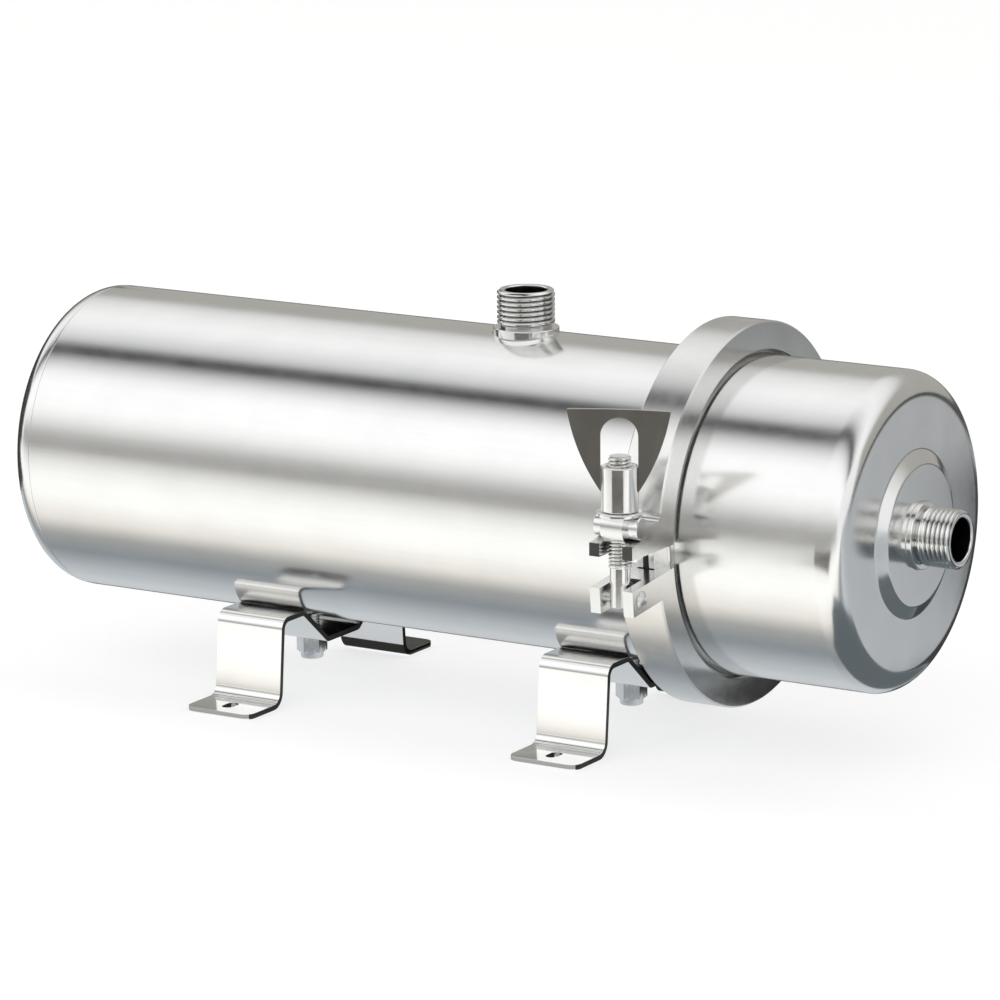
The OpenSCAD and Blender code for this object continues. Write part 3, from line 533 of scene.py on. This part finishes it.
# ports
nipple("outlet_nipple_cut", "outlet_nipple", (OUTLET_X, 0, AXIS_Z + TUBE_R), "+Z", True)
nipple("inlet_nipple_cut", "inlet_nipple", (JOINT_X + CAP_REACH + DISC_RISE, 0, AXIS_Z), "+X")
nipple("drain_nipple_cut", "drain_nipple", (SEAM_X - END_DEPTH - DISC_RISE, 0, AXIS_Z), "-X")


# clamp
def lug_end(c, n):
    """The sawn ends of the upper lugs, which are painted near black as painted shade."""
    return c.y < BOLT_Y - 5.5 and n.y < -0.85


# the lugs' front ends are painted near black: painted shade
dressed("clamp_upper_half", "clamp_upper_cast", "housing", 0.3, CAST, second=(LUG_END_SHADE, lug_end))
dressed("clamp_lower_half", "clamp_lower_cast", "housing", 0.3, CAST)


def pin(node, origin, d):
    """A riveted pin: plain middle, and a domed head with a soft edge at each end."""
    r, half, head, rise = d / 2, CLAMP_W / 2 + 0.05, d / 2 + HEAD_OUT, HEAD_RISE
    dome = (head * head + rise * rise) / (2 * rise)
    cap = []
    for k in range(8):
        a = math.asin(head / dome) * (1 - k / 8)
        cap.append((dome * math.sin(a), half + rise - dome + dome * math.cos(a)))
    rows = [(0, -half - rise)] + [(x, -z) for x, z in reversed(cap)] + [(head - 0.05, -half - 0.02)]
    rows += [(r, -half), (r, 0), (r, half), (head - 0.05, half + 0.02)] + cap + [(0, half + rise)]
    bm = bmesh.new()
    turned(bm, rows, origin, "+X", 64, closed=False)
    made(node + "_riveted", bm, "housing", (node,), angle=45, material=PEENED)


pin("bolt_pivot_pin", (JOINT_X, BOLT_Y, PIVOT_Z), PIVOT_D)
pin("clamp_hinge_pin", (JOINT_X, HINGE_Y, AXIS_Z), HINGE_D)


# swing bolt: the drilled shank of the CAD node, with a rolled M8 thread on it
def roll_thread(bm):
    rows = [(3.55, THREAD_FOOT - 0.3), (3.62, THREAD_FOOT - 0.05)]
    rows += threaded_rows(BOLT_R, THREAD_FOOT, BOLT_TOP, BOLT_PITCH) + [(2.9, BOLT_TOP), (0, BOLT_TOP)]
    thread = thread_shape(BOLT_R, THREAD_FOOT, BOLT_TOP, BOLT_PITCH, BOLT_DEPTH, 0.8, BOLT_TOP, 0.6)
    turned(bm, rows, (JOINT_X, BOLT_Y, 0), "+Z", 72, thread, closed=False)


dressed("swing_bolt", "swing_bolt_rolled", "swing_bolt", 0.25, ROLLED,
        drop=lambda c: c.z > THREAD_FOOT - 0.02, add=roll_thread)
dressed("trunnion_bar", "trunnion_bar_turned", "trunnion", 0.25, MACHINED)

z0, z1 = (corner.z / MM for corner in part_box("trunnion_washer"))
corners = [(WASHER_BORE, z0), (WASHER_R, z0), (WASHER_R, z1), (WASHER_BORE, z1)]
rows = filleted(corners, [0.15, 0.2, 0.45, 0.2])
bm = bmesh.new()
turned(bm, rows, (JOINT_X, BOLT_Y, 0), "+Z", 96)
made("trunnion_washer_punched", bm, "trunnion", ("trunnion_washer",), angle=50,
     material=MACHINED)

# wing nut: a round nut with countersunk thread mouths, and the folded plate, with a painted highlight where
# it faces up
z0, z1 = (corner.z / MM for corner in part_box("wing_nut_barrel"))
rows = [(4.05, z0 + 0.6), (4.7, z0), (NUT_R - 0.5, z0), (NUT_R - 0.15, z0 + 0.15), (NUT_R, z0 + 0.5),
        (NUT_R, z0 + 8), (NUT_R, z1 - 0.5), (NUT_R - 0.15, z1 - 0.15), (NUT_R - 0.5, z1), (4.75, z1),
        (4.05, z1 - 0.7)]
bm = bmesh.new()
turned(bm, rows, (JOINT_X, BOLT_Y, 0), "+Z", 96)
made("wing_nut_barrel_turned", bm, "wing_nut", ("wing_nut_barrel",), angle=50,
     material=MACHINED)
# painted highlight: the plate's upward faces take the lighter turned steel
dressed("wing_plate", "wing_plate_pressed", "wing_nut", 0.2, DARK,
        second=(MACHINED, lambda c, n: n.z > 0.4))


# brackets and their fasteners
def sheared(c, n):
    """The cut sides of a bracket's sheet, which are painted near black as painted shade."""
    return abs(n.x) > 0.75


# the brackets' cut sides are painted near black: painted shade
for node in ("closed_end_bracket", "clamp_end_bracket"):
    dressed(node, node + "_bent", "housing", 0.15, SHEET, second=(CUT_SIDE_SHADE, sheared))

# studs: a chamfered, threaded shank under a welded collar
stud_foot, stud_top = (corner.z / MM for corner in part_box("bracket_studs"))
collar = stud_top - STUD_COLLAR
stud_thread = thread_shape(STUD_R, stud_foot, collar - 0.5, STUD_PITCH, STUD_DEPTH, 0.1)


def stud_shape(t, r, h, k):
    r, h = stud_thread(t, r, h, k)
    return (min(r, 2.35 + max(0.0, h - stud_foot)) if h < stud_foot + 1 else r), h


rows = [(0, stud_foot), (2.4, stud_foot)] + threaded_rows(STUD_R, stud_foot, collar - 0.5, STUD_PITCH)
rows += [(4.5, collar), (4.5, collar + 0.8), (4.2, stud_top), (0, stud_top)]
bm = bmesh.new()
for x in BRACKETS:
    turned(bm, rows, (x, 0, 0), "+Z", 56, stud_shape, closed=False)
made("bracket_studs_threaded", bm, "housing", ("bracket_studs",), angle=50, material=ROLLED)

# lock nuts: a hexagon with its corners turned off at both ends, and a round collar below
low, top = (corner.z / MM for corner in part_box("lock_nuts"))
hex_foot = top - HEX_H


def hexagon(t, r, h, k):
    """Rows 7 to 9 are the full hexagon, and rows 6 and 10 its chamfered ends."""
    flat = HALF_FLATS / math.cos((t + math.pi / 6) % (math.pi / 3) - math.pi / 6)
    if k in (7, 8, 9):
        return flat, h
    return (min(flat, HALF_FLATS + 0.08) if k in (6, 10) else r), h


rows = [(3.05, low + 1.6), (3.5, low), (3.9, low), (4.2, low + 0.2), (4.3, low + 0.5), (4.3, hex_foot),
        (5.0, hex_foot), (5.5, hex_foot + 0.4), (5.5, (top + hex_foot) / 2), (5.5, top - 0.4), (5.0, top),
        (3.6, top), (3.05, top - 0.5)]
bm = bmesh.new()
for x in BRACKETS:
    turned(bm, rows, (x, 0, 0), "+Z", 96, hexagon)
made("lock_nuts_hexagon", bm, "housing", ("lock_nuts",), angle=28, material=MACHINED)

# what stays as CAD gets its finish
FINISH = {
    "lock_nut_inserts": NYLON, "cartridge_stop": MACHINED, "drain_head": WHITE, "feed_head": WHITE,
    "drain_potting": RESIN, "feed_potting": RESIN, "head_seals": RUBBER, "cartridge_cage": WHITE,
    "fibre_sheaves": FIBRE,
}
for node, material in FINISH.items():
    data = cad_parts[node].data
    if len(data.materials):
        for i in range(len(data.materials)):
            data.materials[i] = material
    else:
        data.materials.append(material)


# stage: studio tent, cards and floor
LAMP = 1.19
FLOOR_Z, PALE_Z, DARK_Z, CAP_Z, BOARD_Z = -0.0002, 0.0004, 0.0008, 0.0012, 0.001


def stage_sheet(name, outlines, material, mirrored_only=True):
    """A stage object of flat faces. mirrored_only hides it from all but reflections."""
    bm = bmesh.new()
    for outline in outlines:
        bm.faces.new([bm.verts.new(corner) for corner in outline])
    bmesh.ops.remove_doubles(bm, verts=bm.verts, dist=1e-6)
    obj = linked(name, bm)
    obj.data.materials.append(material)
    if mirrored_only:
        obj.visible_camera = False
        obj.visible_diffuse = False
        obj.visible_shadow = False
        obj.visible_transmission = False
    return obj


def level_at(z, *outline):
    return [(x, y, z) for x, y in outline]


def oblong(x0, y0, x1, y1, z):
    return level_at(z, (x0, y0), (x1, y0), (x1, y1), (x0, y1))


def linear(v):
    """A colour as an 8-bit screen shows it, to the linear values that a material takes."""
    return tuple(x / 12.92 if x <= 0.04045 else ((x + 0.055) / 1.055) ** 2.4 for x in (c / 255 for c in v))


def glowing(name, position, stops):
    """An emitting material whose tone runs with one coordinate: stops are (coordinate, screen colour)."""
    low, high = stops[0][0], stops[-1][0]
    mat = bpy.data.materials.new(name)
    mat.use_nodes = True
    tree = mat.node_tree
    tree.nodes.clear()
    out = tree.nodes.new("ShaderNodeOutputMaterial")
    glow = tree.nodes.new("ShaderNodeEmission")
    glow.inputs["Strength"].default_value = LAMP
    span = tree.nodes.new("ShaderNodeMapRange")
    span.inputs["From Min"].default_value = low
    span.inputs["From Max"].default_value = high
    ramp = tree.nodes.new("ShaderNodeValToRGB")
    elements = ramp.color_ramp.elements
    while len(elements) < len(stops):
        elements.new(0.5)
    for stop, (place, tone) in zip(elements, stops):
        stop.position = (place - low) / (high - low)
        stop.color = (*linear(tone), 1)
    tree.links.new(position(tree), span.inputs["Value"])
    tree.links.new(span.outputs["Result"], ramp.inputs["Fac"])
    tree.links.new(ramp.outputs["Color"], glow.inputs["Color"])
    tree.links.new(glow.outputs["Emission"], out.inputs["Surface"])
    return mat


def angle_round_x(tree):
    """Degrees round the X axis, from +Y towards +Z, of a point on the tent."""
    xyz = tree.nodes.new("ShaderNodeSeparateXYZ")
    tree.links.new(tree.nodes.new("ShaderNodeTexCoord").outputs["Object"], xyz.inputs["Vector"])
    angle = tree.nodes.new("ShaderNodeMath")
    angle.operation = "ARCTAN2"
    tree.links.new(xyz.outputs["Z"], angle.inputs[0])
    tree.links.new(xyz.outputs["Y"], angle.inputs[1])
    degrees = tree.nodes.new("ShaderNodeMath")
    degrees.operation = "DEGREES"
    tree.links.new(angle.outputs[0], degrees.inputs[0])
    return degrees.outputs[0]


def place_y(tree):
    """The Y coordinate of a point on a card."""
    xyz = tree.nodes.new("ShaderNodeSeparateXYZ")
    tree.links.new(tree.nodes.new("ShaderNodeTexCoord").outputs["Object"], xyz.inputs["Vector"])
    return xyz.outputs["Y"]


def grey(value):
    return value, value, value


# the tent: a half round of white cloth along the barrel, with the grey strips that the barrel mirrors in the
# photograph; each stop is degrees round the barrel's axis, from behind over the top to the front
TENT = [(-2.0, (161, 159, 154)), (31.0, (163, 161, 156)), (35.0, (172, 171, 168)), (39.0, (198, 198, 196)),
        (45.0, (218, 218, 217)), (54.0, (233, 233, 232)), (68.0, grey(244)), (78.0, grey(237)),
        (89.0, (213, 213, 214)), (94.0, (192, 192, 193)), (98.5, (110, 110, 111)), (102.0, (52, 52, 53)),
        (105.5, grey(74)), (109.0, grey(154)), (115.0, grey(210)), (122.0, grey(241)), (130.0, grey(255)),
        (148.0, grey(255)), (156.0, (243, 243, 242)), (162.0, (223, 223, 221)), (168.0, (190, 189, 187)),
        (173.0, (168, 167, 165)), (178.0, (160, 159, 157)), (182.0, (164, 163, 161))]
TENT_R, TENT_HALF, TENT_PARTS = 4.0, 9.0, 96
first, last = TENT[0][0], TENT[-1][0]
arch = [math.radians(first + (last - first) * i / TENT_PARTS) for i in range(TENT_PARTS + 1)]
arch = [[(x, TENT_R * math.cos(a), TENT_R * math.sin(a)) for x in (-TENT_HALF, TENT_HALF)] for a in arch]
tent = stage_sheet("studio_tent", [(a[0], a[1], b[1], b[0]) for a, b in zip(arch, arch[1:])],
                   glowing("tent_cloth", angle_round_x, TENT), mirrored_only=False)
tent.location = (0, 0, AXIS_Z * MM)
tent.visible_camera = False
tent.visible_shadow = False

# the pale card on the floor, which the underside of the barrel and the cap's face mirror; each stop is a Y
# the blue-grey dip from Y -0.073 to 0, under the barrel's near half, is painted shadow of the barrel on the
# floor, for the barrel's underside to mirror
CARD = [(-3.0, (172, 171, 168)), (-1.6, (187, 186, 184)), (-0.80, (207, 206, 204)), (-0.50, (227, 226, 224)),
        (-0.32, (243, 242, 240)), (-0.20, (255, 255, 253)), (-0.14, (255, 254, 250)),
        (-0.105, (240, 237, 230)), (-0.084, (222, 218, 210)), (-0.073, (200, 196, 189)),
        (-0.068, (113, 120, 125)), (-0.050, (125, 132, 137)), (-0.030, (168, 174, 179)),
        (0.0, (193, 197, 200)), (0.08, (178, 181, 184)), (0.20, (171, 174, 177)), (0.58, (171, 173, 175)),
        (0.70, (140, 141, 142)), (0.95, (70, 70, 69)), (3.0, (66, 66, 64))]
stage_sheet("floor_card", [oblong(-6, -5, 6, 5, PALE_Z)], glowing("card_face", place_y, CARD))

# dark cards: a sector out in front of the clamp for the wing nut and the bolt, one each beside the cap, under
# the barrel's far side, behind the object and past its left end for the dark edges there, a board past the
# left end for the outline of the closed end, and a low board behind that the feet mirror; the card under the
# barrel's far side is painted shadow of the object on the floor
SECTOR_R, SECTOR_FROM, SECTOR_SPAN, SECTOR_PARTS = (0.27, 1.0), -19, 71, 24
sector = []
for k in range(SECTOR_PARTS + 1):
    a = math.radians(SECTOR_FROM + SECTOR_SPAN * k / SECTOR_PARTS)
    ray = [(JOINT_X * MM + r * math.sin(a), BOLT_Y * MM - r * math.cos(a), DARK_Z) for r in SECTOR_R]
    sector.append(ray)


def upright(p0, p1, top):
    """A board that stands on its lower edge, from p0 to p1."""
    return [(*p0, BOARD_Z), (*p1, BOARD_Z), (*p1, top), (*p0, top)]


CARDS = {
    "nut_card": ([(a[0], b[0], b[1], a[1]) for a, b in zip(sector, sector[1:])], (96, 94, 90)),
    "cap_card": ([level_at(CAP_Z, (0.246, -0.062), (0.296, -0.104), (0.35, -0.118), (0.38, -0.072),
                           (0.38, 0.082), (0.246, 0.082))], (92, 100, 104)),
    # painted shadow of the object on the floor, for the feet and the barrel's underside to mirror
    "floor_shadow_card": ([oblong(-0.2, 0.035, 0.24, 0.13, DARK_Z)], (44, 44, 42)),
    "far_card": ([level_at(DARK_Z, (-0.1, 0.14), (0.19, 0.14), (0.19, 0.085), (0.306, 0.085),
                           (0.308, 0.175), (0.35, 0.24), (0.40, 0.335), (0.45, 0.42), (0.45, 0.56),
                           (-0.1, 0.56))], (58, 59, 60)),
    "left_card": ([oblong(-1.0, -0.12, -0.3, 0.75, DARK_Z)], (60, 60, 58)),
    "left_board": ([upright((-1.0, -0.25), (-1.0, 1.3), 0.42)], (60, 60, 58)),
    "low_board": ([upright((-0.6, 0.32), (0.06, 0.32), 0.112)], (70, 69, 66)),
}
for name, (outlines, tone) in CARDS.items():
    stops = [(-1.2, tone), (0.6, tuple(x - 3 for x in tone))]
    stage_sheet(name, outlines, glowing(name + "_face", place_y, stops))

# the floor: pale, with the object's soft shadow
pale = Look("pale_floor")
pale.set(Roughness=0.9, IOR=1.3, Emission_Color=(1, 1, 1, 1), Emission_Strength=0.66)
speck = pale.noise((1, 1, 1), 240.0, 3.0, 0.5)
pale.link(pale.ramp(speck, [(0.3, 0.44), (0.7, 0.47)]), pale.shader.inputs["Base Color"])
TILE, STARTS = 4.5, (-9.0, -4.5, 0.0, 4.5)
tiles = [oblong(x, y, x + TILE, y + TILE, FLOOR_Z) for y in STARTS for x in STARTS]
stage_sheet("floor", tiles, pale.mat, mirrored_only=False)

world = bpy.data.worlds.new("studio_world")
bpy.context.scene.world = world
world.use_nodes = True
background = world.node_tree.nodes["Background"]
background.inputs["Color"].default_value = (1, 1, 1, 1)
background.inputs["Strength"].default_value = 1.0

# camera, as worked out from the photograph
TARGET, DISTANCE = Vector((0.08310, 0, 0.07748)), 1.9725139
AZIMUTH, ELEVATION, ROLL = (math.radians(x) for x in (31.384137, 12.788249, -0.482499))
optics = bpy.data.cameras.new("photo_camera")
optics.lens, optics.sensor_width, optics.sensor_fit = 194.7655, 36.0, "HORIZONTAL"
optics.clip_start, optics.clip_end = 0.05, 60.0
camera = bpy.data.objects.new("photo_camera", optics)
bpy.context.scene.collection.objects.link(camera)
sin_a, cos_a, sin_e, cos_e = math.sin(AZIMUTH), math.cos(AZIMUTH), math.sin(ELEVATION), math.cos(ELEVATION)
back = Vector((sin_a * cos_e, -cos_a * cos_e, sin_e))
level = Vector((cos_a, sin_a, 0))
upward = Vector((-sin_e * sin_a, sin_e * cos_a, cos_e))
right = level * math.cos(ROLL) + upward * math.sin(ROLL)
up = upward * math.cos(ROLL) - level * math.sin(ROLL)
place = TARGET + back * DISTANCE
camera.matrix_world = Matrix(((right.x, up.x, back.x, place.x), (right.y, up.y, back.y, place.y),
                              (right.z, up.z, back.z, place.z), (0, 0, 0, 1)))
bpy.context.scene.camera = camera
bpy.context.scene.view_settings.view_transform = "Standard"
